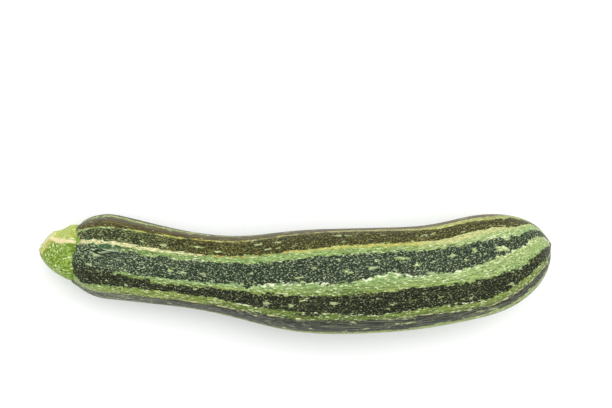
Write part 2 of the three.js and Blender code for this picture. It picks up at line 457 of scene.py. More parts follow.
patch = np.full(len(along), FAR_OUTSIDE)
for row in PALE_PATCHES:
    patch = np.maximum(patch, ellipse(*row))
for row in DARK_NOTCHES:
    stripe = np.minimum(stripe, -ellipse(*row))
stripe = np.maximum(stripe, patch)
print("stripes and patches cover", round(100 * float((stripe > 0).mean())), "% of the corners")

# %% [markdown]
# ## The greens of the stripes
#
# A stripe isn't one green. Its lower and its upper side differ, and both change along the fruit: dark and
# bluish near the stem, fresh in the middle and pale near the blossom end. Near the stem the first stripe's
# teal is its own green darkened by painted shade below the crease at its upper edge. So each stripe has
# rows with two named colours. The colours are painted wider than the stripes, because the noise moves the
# edge later.

# %% Paint the stripes' colours


def dye(red, green, blue):
    """A colour as the eye reads it, from 0 to 255, made linear as a shader needs it."""
    share = np.array((red, green, blue)) / 255
    return np.where(share < 0.04045, share / 12.92, ((share + 0.055) / 1.055) ** 2.4)


# The olive dye is partly a skin tone and partly painted yellow bounce light on the upper side.
DYES = {
    "teal_and_shade": dye(62, 100, 62), "leaf": dye(153, 177, 110), "sea": dye(162, 188, 130),
    "lime": dye(150, 164, 86), "pale": dye(184, 196, 134), "olive_and_bounce": dye(146, 140, 62),
    "straw": dye(196, 192, 106), "ochre": dye(192, 172, 100), "cream": dye(228, 222, 172),
    "butter": dye(202, 202, 140), "moss": dye(104, 122, 58),
}
STRIPE_DYES = {
    # The first stripe's teal near the stem is its green darkened by painted shade below the crease at its
    # upper edge.
    0: ((0, "teal_and_shade", "teal_and_shade"), (16, "teal_and_shade", "teal_and_shade"), (28, "leaf", "moss"), (60, "leaf", "leaf"),
        (95, "leaf", "leaf"), (140, "leaf", "lime"), (170, "pale", "pale"), (200, "sea", "pale")),
    -36: ((18, "moss", "leaf"), (50, "lime", "sea"), (95, "lime", "sea"), (118, "moss", "leaf"),
          (140, "lime", "sea"), (185, "leaf", "pale")),
    -72: ((0, "lime", "leaf"), (40, "lime", "lime"), (64, "moss", "lime"), (120, "moss", "moss"),
          (160, "moss", "lime"), (200, "moss", "lime")),
    -108: ((0, "lime", "lime"), (200, "pale", "lime")),
    # Stripes 36 and 72 lie on the upper side: their olive and straw are partly own tone, partly painted
    # yellow bounce light.
    36: ((0, "leaf", "leaf"), (24, "moss", "lime"), (50, "olive_and_bounce", "olive_and_bounce"), (140, "olive_and_bounce", "straw"),
         (160, "straw", "straw"), (190, "straw", "lime"), (205, "lime", "lime")),
    72: ((0, "leaf", "lime"), (30, "lime", "straw"), (90, "lime", "lime"), (200, "lime", "pale")),
    108: ((0, "moss", "leaf"), (60, "lime", "lime"), (200, "lime", "sea")),
    144: ((0, "teal_and_shade", "leaf"), (40, "leaf", "lime"), (200, "lime", "pale")),
    180: ((12, "moss", "leaf"), (60, "lime", "pale"), (200, "pale", "pale")),
    216: ((0, "lime", "leaf"), (80, "moss", "lime"), (200, "lime", "pale")),
}
THINNEST = 0.2
PATCH_RIM = (-0.4, 0.2)


def dyes_at(rows, column, distance):
    """The colour in a column of the rows, where the fruit is this long in millimetres."""
    knots = [row[0] for row in rows]
    colours = np.array([DYES[row[column]] for row in rows])
    return np.stack([np.interp(distance, knots, channel) for channel in colours.T], axis=1)


def store(piece, name, kind, values):
    """Keeps one value, vector or colour for each corner in an attribute of a piece."""
    attribute = piece.data.attributes.new(name, kind, "POINT")
    if kind == "FLOAT_COLOR":
        values = np.hstack([values, np.ones((len(values), 1))])
    field = {"FLOAT": "value", "FLOAT_VECTOR": "vector", "FLOAT_COLOR": "color"}[kind]
    attribute.data.foreach_set(field, np.ascontiguousarray(values, dtype=np.float32).ravel())


stripe_colour = np.zeros((len(along), 3))
for rib, rows in STRIPE_DYES.items():
    above, below = edges[rib]
    height = np.clip(above / np.maximum(above + below, THINNEST), 0, 1)[:, None]
    colour = dyes_at(rows, 1, along) * (1 - height) + dyes_at(rows, 2, along) * height
    mine = owner == rib
    stripe_colour[mine] = colour[mine]
in_patch = smooth_step(patch, *PATCH_RIM)[:, None]
stripe_colour = stripe_colour * (1 - in_patch) + DYES["pale"] * in_patch
store(fruit, "stripe", "FLOAT", stripe)
store(fruit, "stripe_colour", "FLOAT_COLOR", stripe_colour)
print("stripe colours:", len(DYES), "dyes in", sum(map(len, STRIPE_DYES.values())), "rows")

# %% [markdown]
# ## Pale lines along the edges
#
# The first stripe has a cream line along its upper edge that turns ochre, then straw yellow. A few others
# have thin ones. They lie just inside the stripe's edge and get a distance and a colour of their own, from
# rows that say how wide the line is in millimetres and which dye it has. Whitish frost gathers in patches
# along other edges, and its strength is painted too.

# %% Paint the lines
UPPER, LOWER = 1, 0
EDGE_LINES = (
    (0, UPPER, ((0, 1.8, "cream"), (24, 1.6, "cream"), (52, 0.9, "cream"), (60, 0.7, "ochre"),
                (90, 0.8, "ochre"), (100, 1.6, "straw"), (146, 1.8, "straw"), (156, 2.8, "butter"),
                (182, 2.8, "butter"), (200, 0.8, "pale"))),
    (-72, LOWER, ((0, 0.2, "pale"), (36, 0.6, "straw"), (90, 0.4, "cream"), (206, 0.5, "cream"))),
    (36, UPPER, ((0, 0.3, "pale"), (40, 0.6, "straw"), (140, 0.8, "straw"), (190, 0.5, "butter"))),
    (144, LOWER, ((0, 0.8, "cream"), (90, 0.6, "ochre"), (206, 0.9, "straw"))),
)
line = np.full(len(along), FAR_OUTSIDE)
line_colour = np.zeros((len(along), 3))
for rib, side, rows in EDGE_LINES:
    inwards = edges[rib][side]
    half = np.interp(along, [row[0] for row in rows], [row[1] / 2 for row in rows])
    depth = half - np.abs(inwards - half)
    mine = depth > line
    line_colour[mine] = dyes_at(rows, 2, along)[mine]
    line = np.maximum(line, depth)
store(fruit, "line", "FLOAT", line)
store(fruit, "line_colour", "FLOAT_COLOR", line_colour)
print("pale lines:", len(EDGE_LINES), "over", round(100 * float((line > 0).mean()), 1), "% of the corners")

# %% Paint the frost
FROST = (
    (0, LOWER, 0.75), (-36, UPPER, 1.0), (-36, LOWER, 0.35), (-72, UPPER, 0.7), (72, UPPER, 0.2),
    (108, LOWER, 0.7), (144, UPPER, 0.7), (180, LOWER, 0.8), (216, UPPER, 0.7),
)
FROST_STARTS = (-0.9, 0.1)
FROST_STOPS = (0.5, 1.8)
FROST_ON_PATCHES = (-0.3, 0.3)
FROST_GROWS = (20, 70)
YOUNG_FROST = 0.35
frost = np.zeros(len(along))
for rib, side, strength in FROST:
    inwards = edges[rib][side]
    band = smooth_step(inwards, *FROST_STARTS) * (1 - smooth_step(inwards, *FROST_STOPS))
    frost = np.maximum(frost, strength * band)
frost = np.maximum(frost, smooth_step(patch, *FROST_ON_PATCHES))
frost *= YOUNG_FROST + (1 - YOUNG_FROST) * smooth_step(along, *FROST_GROWS)
store(fruit, "frost", "FLOAT", frost)
print("frosted edges:", len(FROST))

# %% [markdown]
# ## The dark skin between the stripes
#
# The ten dark panels differ as well. The one above the first stripe is olive brown with yellow flecks, and
# the one above that is brown: partly their own tone and partly painted yellow bounce light on the upper
# side.
# The one below the first stripe is bluish with many pale ones: the flecks are its own, and the bluish tint
# is a painted reflection of the soft light. The next is nearly black, and the lowest that shows is grey and
# drawn out in streaks. So a panel has a dark colour, a fleck colour, and two shares that say how thick its
# flecks and its streaks are. Each is even across the panel and changes under the stripe.

# %% Dark colour, fleck colour, flecks and streaks of each panel
PANELS = (
    # Panels 0 and 1, above the first stripe: olive brown and brown, partly own tone and partly painted
    # yellow bounce light.
    (dye(38, 40, 8), dye(156, 150, 86), 0.46, 0.3),
    (dye(60, 50, 12), dye(136, 124, 52), 0.15, 0.9),
    (dye(44, 48, 18), dye(118, 120, 66), 0.35, 0.6),
    (dye(26, 38, 18), dye(122, 138, 92), 0.6, 0.3),
    (dye(22, 34, 18), dye(120, 136, 100), 0.65, 0.3),
    (dye(24, 34, 18), dye(116, 128, 94), 0.5, 0.3),
    (dye(30, 38, 24), dye(110, 120, 88), 0.42, 0.5),
    (dye(30, 33, 23), dye(150, 156, 124), 0.22, 0.62),
    (dye(22, 28, 15), dye(146, 154, 108), 0.42, 0.15),
    # Panel 9, below the first stripe: pale flecks of its own, and a bluish tint that is a painted
    # reflection.
    (dye(27, 40, 24), dye(158, 172, 134), 0.53, 0.15),
)
YOUNG_PANELS = {
    0: (dye(28, 38, 16), dye(160, 168, 112), 0.54, 0.3),
    # Young rows 1 and 9 keep their panels' painted yellow bounce light and painted bluish reflection.
    1: (dye(56, 50, 20), dye(142, 134, 72), 0.2, 0.95),
    7: (dye(44, 50, 34), dye(174, 184, 138), 0.36, 0.85),
    9: (dye(30, 44, 28), dye(166, 180, 142), 0.57, 0.3),
}
print("dark panels:", len(PANELS), "of which look different near the stem:", len(YOUNG_PANELS))

# %% Find the panel of each corner
PANEL_CHANGE = (0.35, 0.65)
order = sorted(STRIPES)
middles_here = {rib: rows_at(STRIPES[rib], along)[0] for rib in order}
rib_place = np.zeros(len(along))
for rib, next_rib in zip(order, order[1:] + order[:1]):
    reach = (middles_here[next_rib] - middles_here[rib]) % ROUND_TURN
    past = degrees_from(middles_here[rib], around) % ROUND_TURN
    rib_place = np.where(past < reach, rib / (ROUND_TURN / RIBS) + past / reach, rib_place)
panel_place = (rib_place - 0.5) % RIBS
panel = np.floor(panel_place).astype(int)
towards_next = smooth_step(panel_place - panel, *PANEL_CHANGE)[:, None]


def across_panels(values):
    """Values that are even across each panel and change between panels."""
    values = np.array(values).reshape(RIBS, -1)
    return values[panel % RIBS] * (1 - towards_next) + values[(panel + 1) % RIBS] * towards_next


print("corners nearest to each panel's middle:", np.bincount(np.rint(panel_place).astype(int) % RIBS))

# %% [markdown]
# ## Young skin near the stem
#
# Near the stem the olive and the brown panel, whose tint is partly painted yellow bounce light, are still
# green, the grey one has more streaks, and the skin just under the first stripe looks brushed: its flecks
# give way to fine streaks. So the four values of each panel are painted twice, young and ripe, and the
# young ones fade out along the fruit.

# %% Paint the dark skin
BRUSHED = 2.4
BRUSH_CLEARS = 0.9
BRUSH_LOWER_RIM = (-4.6, -3.0)
BRUSH_UPPER_RIM = (0.1, 0.9)
BRUSH_FADES = (14, 26)
YOUNG_FADES = (18, 62)
under_first = edges[0][LOWER]
brushed = smooth_step(under_first, *BRUSH_LOWER_RIM) * smooth_step(-under_first, *BRUSH_UPPER_RIM)
brushed = (brushed * (1 - smooth_step(along, *BRUSH_FADES)))[:, None]
young_rows = [YOUNG_PANELS.get(number, row) for number, row in enumerate(PANELS)]
age = smooth_step(along, *YOUNG_FADES)[:, None]
painted_here = {}
for column, name in enumerate(("skin_colour", "fleck_colour", "flecks", "streaks")):
    young = across_panels([row[column] for row in young_rows])
    ripe = across_panels([row[column] for row in PANELS])
    painted_here[name] = young * (1 - age) + ripe * age
painted_here["streaks"] += BRUSHED * brushed
painted_here["flecks"] *= 1 - BRUSH_CLEARS * brushed
for name, values in painted_here.items():
    store(fruit, name, "FLOAT_COLOR" if name.endswith("colour") else "FLOAT", values)
print("brushed corners:", int((brushed > 0.5).sum()))

# %% [markdown]
# ## Unrolling the skin
#
# The materials don't need a UV map, but anything that copies the finish into a picture does. The skin is
# unrolled like the label of a bottle, along the fruit one way and round it the other, and slit on the side
# opposite to the first rib. Each face takes its angles from its own middle, so that none is torn at the
# slit.

# %% Unroll the skin
ON_AXIS = 0.01
ON_SEAT = 0.05
MAP_MARGIN = 0.002
skin_mesh = fruit.data
corner_of = np.empty(len(skin_mesh.loops), int)
skin_mesh.loops.foreach_get("vertex_index", corner_of)
sides = np.empty(len(skin_mesh.polygons), int)
skin_mesh.polygons.foreach_get("loop_total", sides)
face_of = np.repeat(np.arange(len(sides)), sides)
face_middles = np.zeros((len(sides), 2))
np.add.at(face_middles, face_of, places[corner_of, 1:])
face_angle = np.degrees(np.arctan2(face_middles[:, 0], face_middles[:, 1]))[face_of]
turned = degrees_from(face_angle, around[corner_of])
turned[girth[corner_of] < ON_AXIS] = 0
seat_radius = SEAT_RADIUS / MM
path = np.where(along > ON_SEAT, along, girth - seat_radius)[corner_of]
unrolled = np.stack([
    (path + seat_radius) / (FRUIT_LENGTH / MM + seat_radius),
    (face_angle + turned) / ROUND_TURN + 0.5,
], axis=1)
unrolled = np.clip(unrolled, MAP_MARGIN, 1 - MAP_MARGIN)
unrolled_map = skin_mesh.uv_layers.new(name="OFBake")
unrolled_map.uv.foreach_set("vector", unrolled.astype(np.float32).ravel())
print("unrolled skin reaches from", unrolled.min(0).round(3), "to", unrolled.max(0).round(3))

# %% [markdown]
# ## The joint with the stem and the scar
#
# The stem's green runs a little way into the fruit along each main rib, and the dark skin bulges in lobes
# between. At the other end the fallen flower has left a small corky scar with a dimple. Both are painted as
# distances from an edge, like the stripes, and the dimple is pushed in by hand.

# %% Collar, scar and dimple
COLLAR_REACH = -0.5
COLLAR_TONGUE = 3.4
SCAR_REACH = 2.5
DIMPLE_RADIUS = 0.9 * MM
DIMPLE_DEPTH = 0.35 * MM
tongue = np.clip(np.cos(np.radians(MAIN_RIBS * around)), 0, 1) ** 3
collar = COLLAR_REACH + COLLAR_TONGUE * tongue - along
scar_distance = np.hypot(FRUIT_LENGTH / MM - along, girth)
store(fruit, "collar", "FLOAT", collar)
store(fruit, "scar", "FLOAT", SCAR_REACH - scar_distance)
open_piece(fruit)
dimpled = pick(fruit, lambda place: (place - tip).length < DIMPLE_RADIUS)
bpy.ops.transform.translate(value=(-DIMPLE_DEPTH, 0, 0))
bpy.ops.object.mode_set(mode="OBJECT")
print("corners in the dimple:", dimpled)

# %% [markdown]
# ## Nodes as a mixing bench
#
# The skin's material has many small steps, so a few helpers come first. One adds a node and joins its
# sockets, one reads a painted attribute, and the others are the steps that come back again and again: sums,
# a soft threshold, a mix of two colours, and noise or cells whose grains have a length and a width in
# millimetres. Everything is drawn in the straight fruit's own space, so grains lie along the fruit wherever
# it bends. A noise can be shifted, so that two with grains of one size don't show the same spots.

# %% Helpers for nodes
ASKEW = (0.5, 0.7, 0.4)
SHIFT_WAY = (1.37, 1.0, 0.71)
ROUGHNESS_OF_NOISE = 0.6
FLECK_RIM = 0.05


def add_node(tree, kind, sockets=(), **settings):
    """Adds a node, sets it up, and gives its sockets a value or a link."""
    node = tree.nodes.new("ShaderNode" + kind)
    for name, value in settings.items():
        setattr(node, name, value)
    for name, value in dict(sockets).items():
        if isinstance(value, bpy.types.NodeSocket):
            tree.links.new(value, node.inputs[name])
        else:
            node.inputs[name].default_value = value
    return node


def painted(tree, name, output="Color"):
    """Reads a painted attribute: Color, Vector, or Fac for a plain number."""
    return add_node(tree, "Attribute", attribute_name=name).outputs[output]


def reckon(tree, operation, first, second):
    """One step of arithmetic with two numbers or sockets."""
    return add_node(tree, "Math", {0: first, 1: second}, operation=operation).outputs[0]


def plus(tree, first, second):
    """Two numbers or sockets added."""
    return reckon(tree, "ADD", first, second)


def times(tree, first, second):
    """Two numbers or sockets multiplied."""
    return reckon(tree, "MULTIPLY", first, second)


def minus(tree, first, second):
    """The second number or socket taken from the first."""
    return reckon(tree, "SUBTRACT", first, second)


def swing(tree, noise, height):
    """Noise that lies about 0.5, made to swing about 0 with a height."""
    return times(tree, minus(tree, noise, 0.5), height)


def threshold(tree, value, start, stop, top=1.0):
    """0 before start and top after stop, with a ramp between them."""
    sockets = {"Value": value, "From Min": start, "From Max": stop, "To Max": top}
    return add_node(tree, "MapRange", sockets).outputs[0]


def blend(tree, share, under, over, mode="MIX"):
    """Two colours mixed by a share."""
    sockets = {0: share, 6: under, 7: over}
    return add_node(tree, "Mix", sockets, data_type="RGBA", blend_type=mode).outputs[2]


def skin_space(tree, length, width, shift=0.0):
    """The straight fruit's space, measured in grains of a length and a width in millimetres.

    It is turned askew after it is measured, so that no grid shows in the noise.
    """
    scale = (1 / (length * MM), 1 / (width * MM), 1 / (width * MM))
    sockets = {"Vector": painted(tree, "grown", "Vector"), "Scale": scale, "Rotation": ASKEW}
    sockets["Location"] = [way * shift for way in SHIFT_WAY]
    return add_node(tree, "Mapping", sockets).outputs[0]


def grain(tree, length, width, detail=2.0, shift=0.0):
    """Soft noise, about 0.5, whose grains have this length and width."""
    sockets = {"Vector": skin_space(tree, length, width, shift), "Scale": 1.0, "Detail": detail}
    sockets["Roughness"] = ROUGHNESS_OF_NOISE
    return add_node(tree, "TexNoise", sockets).outputs["Fac"]


def raggedness(tree, coarse, fine):
    """Millimetres to push an edge about by: long waves and small teeth."""
    waves = swing(tree, grain(tree, 6, 2.2), coarse)
    teeth = swing(tree, grain(tree, 1.5, 0.8, 3.0), fine)
    return plus(tree, waves, teeth)


def fleck_cells(tree, length, width, thickness, shift=0.0, rough=0.9):
    """Ragged flecks of many sizes, one in each cell of about this length and width."""
    sockets = {"Vector": skin_space(tree, length, width, shift), "Scale": 1.0, "Randomness": 1.0}
    cells = add_node(tree, "TexVoronoi", sockets)
    chance = add_node(tree, "SeparateColor", {"Color": cells.outputs["Color"]}).outputs[0]
    teeth = swing(tree, grain(tree, 0.3 * length, 0.3 * width, 3.0, shift), rough)
    reach = plus(tree, times(tree, chance, thickness), teeth)
    return threshold(tree, minus(tree, reach, cells.outputs["Distance"]), -FLECK_RIM, FLECK_RIM)


def finish_material(piece, name, tree_maker):
    """Makes a material, lets its maker fill the nodes, and lays it on the piece."""
    material = bpy.data.materials.new(name)
    material.use_nodes = True
    tree_maker(material.node_tree, material.node_tree.nodes["Principled BSDF"])
    piece.data.materials.clear()
    piece.data.materials.append(material)
    print(name, "has", len(material.node_tree.nodes), "nodes")


def linear(red, green, blue):
    """A colour for a socket from a colour as the eye reads it."""
    return (*dye(red, green, blue), 1.0)


# %% [markdown]
# ## The skin of the fruit
#
# The layers are mixed from the bottom up, as they look in the real skin, and each has a function of its
# own. The dark skin comes first. It has fine flecks, which are worm-like where they crowd together,
# streaks, and a few large flecks.

# %% Dark skin
LARGE_FLECKS = linear(168, 182, 130)
CLOUD = (0.78, 0.8, 0.8, 1.0)


def fine_flecks(tree, flecks):
    """Where the fine flecks are: worm-like ones and dots, thicker where flecks is larger."""
    worm_edge = minus(tree, grain(tree, 0.8, 0.5, 3.0, 4.0), minus(tree, 0.68, times(tree, flecks, 0.2)))
    dots = fleck_cells(tree, 1.2, 0.7, times(tree, flecks, 0.62))
    return reckon(tree, "MAXIMUM", threshold(tree, worm_edge, 0.0, 0.06), dots)


def dark_skin(tree, fine):
    """The skin between the stripes."""
    fleck_colour = painted(tree, "fleck_colour")
    cloud = threshold(tree, grain(tree, 30, 9), 0.3, 0.7)
    dark = blend(tree, cloud, painted(tree, "skin_colour"), CLOUD, "MULTIPLY")
    dark = blend(tree, times(tree, fine, 0.9), dark, fleck_colour)
    threads = threshold(tree, grain(tree, 12, 0.5, 3.0, 9.0), 0.5, 0.64)
    threads = times(tree, threads, painted(tree, "streaks", "Fac"))
    dark = blend(tree, times(tree, threads, 0.7), dark, fleck_colour)
    large = fleck_cells(tree, 7.5, 3.4, 0.22, 3.0)
    return blend(tree, times(tree, large, 0.8), dark, LARGE_FLECKS)


# %% [markdown]
# ## The green of the stripes and the pale lines
#
# A stripe's painted green is the start. Veins run along it, a dark mottle breaks it up, and short light
# flecks lie on top. The lines are strands that wander a little and are worn away here and there, and the
# frost is a noise that shows only where its painted strength lifts it over a threshold.

# %% Stripes, lines and frost
WHITE = linear(255, 255, 255)
VEIN_SHADE = linear(190, 196, 180)
MOTTLE_SHADE = (0.5, 0.6, 0.48, 1.0)
LIGHT_FLECKS = linear(216, 226, 178)
STRAND_SHADE = linear(196, 196, 180)
FROST_COLOUR = linear(222, 230, 190)


def green_skin(tree):
    """The skin of the stripes."""
    light_flecks = fleck_cells(tree, 2.3, 0.7, 0.42, 7.0, 1.3)
    veins = threshold(tree, grain(tree, 8, 0.5, 3.0, 5.0), 0.4, 0.6)
    pale = blend(tree, veins, VEIN_SHADE, WHITE)
    green = blend(tree, 1.0, painted(tree, "stripe_colour"), pale, "MULTIPLY")
    mottle = threshold(tree, grain(tree, 1.3, 0.5, 3.0, 2.0), 0.42, 0.54)
    green = blend(tree, minus(tree, 1.0, mottle), green, MOTTLE_SHADE, "MULTIPLY")
    return blend(tree, times(tree, light_flecks, 0.7), green, LIGHT_FLECKS)


def with_lines(tree, skin):
    """The skin with the pale lines along the stripes' edges."""
    wander = swing(tree, grain(tree, 4, 1.2, 3.0, 6.0), 3.4)
    in_line = threshold(tree, plus(tree, painted(tree, "line", "Fac"), wander), -0.05, 0.3)
    worn = threshold(tree, grain(tree, 2.4, 0.7, 3.0, 1.0), 0.3, 0.46, 0.92)
    dash = threshold(tree, grain(tree, 1.4, 0.5, 3.0, 4.0), 0.4, 0.6)
    strand = blend(tree, dash, STRAND_SHADE, WHITE)
    strand = blend(tree, 1.0, painted(tree, "line_colour"), strand, "MULTIPLY")
    return blend(tree, times(tree, in_line, worn), skin, strand)


def with_frost(tree, skin):
    """The skin with frost in patches along some edges."""
    patchy = threshold(tree, grain(tree, 16, 5, 2.0, 11.0), 0.36, 0.6, 0.2)
    strength = times(tree, painted(tree, "frost", "Fac"), patchy)
    frosted = threshold(tree, plus(tree, grain(tree, 2.2, 0.9, 3.0, 8.0), strength), 0.67, 0.75)
    return blend(tree, times(tree, frosted, 0.85), skin, FROST_COLOUR)


# %% [markdown]
# ## All layers together
#
# The ragged edge is the same for the stripes, the stem's green and the scar: one noise pushes all three of
# their distances about. The wax makes the skin softly glossy. It is a little duller on the flecks and dull
# on the scar. A slight unevenness and fine pores are only in the way the skin takes light.

# %% Skin material
COLLAR_GREEN = linear(118, 158, 62)
CORK_DARK = linear(58, 42, 26)
CORK_LIGHT = linear(150, 122, 84)
GLOSS = 0.4
SHINE = 0.11


def uneven(tree, shader, coarse, fine, shine):
    """Gives a shader its bumps, from two heights in millimetres, and how strongly it shines."""
    sockets = {"Height": plus(tree, coarse, fine), "Strength": 0.6, "Distance": MM}
    tree.links.new(add_node(tree, "Bump", sockets).outputs[0], shader.inputs["Normal"])
    shader.inputs["Specular IOR Level"].default_value = shine


def fruit_skin(tree, shader):
    """Fills the nodes of the fruit's skin."""
    rag = raggedness(tree, 4.0, 4.0)
    fine = fine_flecks(tree, painted(tree, "flecks", "Fac"))
    in_stripe = threshold(tree, plus(tree, painted(tree, "stripe", "Fac"), rag), 0.0, 0.3)
    skin = blend(tree, in_stripe, dark_skin(tree, fine), green_skin(tree))
    skin = with_frost(tree, with_lines(tree, skin))
    in_collar = threshold(tree, plus(tree, painted(tree, "collar", "Fac"), rag), -0.1, 0.3)
    skin = blend(tree, in_collar, skin, COLLAR_GREEN)
    in_scar = threshold(tree, plus(tree, painted(tree, "scar", "Fac"), rag), -0.1, 0.4)
    cork = blend(tree, grain(tree, 0.5, 0.5, 3.0), CORK_DARK, CORK_LIGHT)
    skin = blend(tree, in_scar, skin, cork)
    tree.links.new(skin, shader.inputs["Base Color"])
    wax = plus(tree, GLOSS, times(tree, fine, 0.07))
    wax = plus(tree, wax, times(tree, in_scar, 0.35))
    tree.links.new(wax, shader.inputs["Roughness"])
    swell = times(tree, grain(tree, 7, 4, 1.0), 0.5)
    pores = times(tree, grain(tree, 0.9, 0.6, 2.0), 0.05)
    uneven(tree, shader, swell, pores, SHINE)


finish_material(fruit, "fruit_skin", fruit_skin)

# %% [markdown]
# ## The stub of the stem
#
# A courgette's stem has five ridges, which run on from the main ribs, and a knife has cut it off at a
# slant. It could be sculpted, or lofted between two five-cornered curves. Here it is built straight from
# rings, like the fruit, bent towards the cut, cut with Bisect where the frame's cut lies, and then laid on
# the frame, which has the ridges already. The cut face gets rings of its own, so that its rim can be
# rounded and its middle sunk.

# %% Where the stem starts and where it is cut
CUT_TOLERANCE = 0.02 * MM
stem_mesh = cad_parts["stem"].data
cut_face = max((face for face in stem_mesh.polygons if face.normal.x < -0.6), key=lambda face: face.area)
cut_normal = cut_face.normal.copy()
cut_place = stem_mesh.vertices[cut_face.vertices[0]].co.copy()
on_cut = [
    corner.co for corner in stem_mesh.vertices
    if abs((corner.co - cut_place).dot(cut_normal)) < CUT_TOLERANCE
]
cut_middle = sum(on_cut, Vector()) / len(on_cut)
STEM_LENGTH = (cut_middle - seat).length
print("stem length:", round(STEM_LENGTH / MM, 1), "mm, cut faces", [round(part, 2) for part in cut_normal])

# %% Rings of the stem, straight
STEM_CORNERS = 60
FOOT_RADIUS = 12.9 * MM
CUT_RADIUS = 5.5 * MM
STEM_SWELL = 1.2 * MM
STEM_RINGS = 12
PAST_CUT = 1.7
THINNEST_PAST_CUT = 0.6 * CUT_RADIUS


def stem_plan():
    """The rings of the straight stem as (distance, radius), from its foot to well past the cut."""
    for step in range(1, STEM_RINGS + 1):
        share = PAST_CUT * step / STEM_RINGS
        taper = FOOT_RADIUS + (CUT_RADIUS - FOOT_RADIUS) * share
        swollen = taper + STEM_SWELL * math.sin(math.pi * min(share, 1))
        yield -share * STEM_LENGTH, max(swollen, THINNEST_PAST_CUT)


stem = grow_rings("cut_stem", STEM_CORNERS, FOOT_RADIUS, stem_plan())
remember_straight(stem)
print("straight stem:", len(stem.data.vertices), "corners")

# %% [markdown]
# ## Bending and cutting the stem
#
# The curve for the stem starts square to the seat and passes through the middle of the cut. The Curve
# modifier bends towards plus X, so the curve is drawn from beyond the cut back to the seat, and the stem is
# moved along until its foot is at the curve's end. Bisect takes off what lies past the cut and fills the
# hole.

# %% Bend and cut
KNEE_SHARE = 0.4
WELD = 0.001 * MM
knee = seat + outwards * KNEE_SHARE * STEM_LENGTH
beyond = cut_middle + (cut_middle - knee).normalized() * (PAST_CUT - 1) * STEM_LENGTH
stem_knots = [beyond, cut_middle, knee, seat]
stem_line, stem_line_length = draw_line("stem_line", stem_knots, [RIB_ANGLE] * len(stem_knots))
open_piece(stem)
bpy.ops.mesh.select_all(action="SELECT")
bpy.ops.transform.translate(value=(stem_line_length, 0, 0))
bpy.ops.object.mode_set(mode="OBJECT")
apply_modifier(stem, "CURVE", object=stem_line, deform_axis="POS_X")
bpy.data.objects.remove(stem_line)
bpy.ops.object.mode_set(mode="EDIT")
bpy.ops.mesh.select_all(action="SELECT")
bpy.ops.mesh.bisect(
    plane_co=cut_middle, plane_no=cut_normal, use_fill=True, clear_outer=True, threshold=WELD
)
bpy.ops.object.mode_set(mode="OBJECT")
print("cut stem:", len(stem.data.vertices), "corners")

# %% [markdown]
# ## The cut face and the foot
#
# The cut face is one flat face with many corners. It is inset five times, so that it has rings to hold its
# round shape, and poked in the middle. After the fit the pith is sunk a little, because it dries faster,
# and the sharp tip is blunted. The foot is tucked into the fruit, so that no gap shows where the two grow
# together.

# %% Rings on the cut face
CUT_INSETS = (0.35 * MM, 0.7 * MM, 0.9 * MM, 1.0 * MM, 1.0 * MM)
PITH_RADIUS = 2.4 * MM
PITH_DEPTH = 0.35 * MM
BLUNT_RADIUS = 2.4 * MM
BLUNTED_BY = 0.5 * MM
TUCK_HEIGHT = 0.6 * MM
TUCK_DEPTH = 2.6 * MM
TUCK_SPREAD = 0.98


def on_the_cut(place):
    """True where a place lies in the plane of the cut."""
    return abs((place - cut_middle).dot(cut_normal)) < CUT_TOLERANCE


bpy.ops.object.mode_set(mode="EDIT")
rim_corners = pick(stem, on_the_cut)
for inset in CUT_INSETS:
    bpy.ops.mesh.inset(thickness=inset, depth=0)
bpy.ops.mesh.poke()
bpy.ops.object.mode_set(mode="OBJECT")
apply_modifier(stem, "SHRINKWRAP", target=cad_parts["stem"], wrap_method="NEAREST_SURFACEPOINT")
bpy.ops.object.mode_set(mode="EDIT")
sunk = pick(stem, lambda place: (place - cut_middle).length < PITH_RADIUS)
bpy.ops.transform.translate(value=cut_normal * -PITH_DEPTH)
tip_place = min((corner.co.copy() for corner in stem_mesh.vertices), key=lambda place: place.x)
blunted = pick(stem, lambda place: (place - tip_place).length < BLUNT_RADIUS)
bpy.ops.transform.translate(value=(BLUNTED_BY, 0, 0))
tucked = pick(stem, lambda place: (place - seat).dot(outwards) < TUCK_HEIGHT)
bpy.ops.transform.resize(value=(TUCK_SPREAD, TUCK_SPREAD, TUCK_SPREAD), center_override=seat)
bpy.ops.transform.translate(value=outwards * -TUCK_DEPTH)
bpy.ops.object.mode_set(mode="OBJECT")
apply_modifier(stem, "SUBSURF", levels=2, render_levels=2)
bpy.ops.object.shade_smooth()
print("corners sunk:", sunk, "blunted:", blunted, "tucked:", tucked)
print("finished stem:", len(stem.data.polygons), "faces")

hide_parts("stem")
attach(stem, "root")

# %% [markdown]
# ## Painting the stem
#
# The stem is fresh green with whitish flecks. Its upper side is yellower, partly its own tone and partly
# painted yellow bounce light, the ridge that carries on the fruit's cream line is pinkish cream, and the
# rim of the cut has dried to ochre. The cut face is paler, with a ring of darker vessels round a pithy
# middle.

# %% Find the cut face and lay its pattern flat
ON_FACE_DEPTH = 0.5
ON_FACE_REACH = 1.02
from_middle = corner_places(stem.data) - np.array(cut_middle)
off_cut = -from_middle @ np.array(cut_normal) / MM
out_from_middle = np.linalg.norm(from_middle, axis=1) / MM
cut_radius = np.mean([(corner - cut_middle).length for corner in on_cut]) / MM
on_face = (off_cut < ON_FACE_DEPTH) & (out_from_middle < ON_FACE_REACH * cut_radius)
across = cut_normal.cross(Vector((0, 0, 1))).normalized()
upwards = across.cross(cut_normal)
stem_places = read_vectors(stem.data, "grown")
stem_places[on_face] = (from_middle @ np.array([cut_normal, across, upwards]).T)[on_face]
stem.data.attributes["grown"].data.foreach_set("vector", stem_places.ravel())
print("rim corners:", rim_corners, "corners on the cut:", int(on_face.sum()))
print("cut radius:", round(float(cut_radius), 1), "mm")

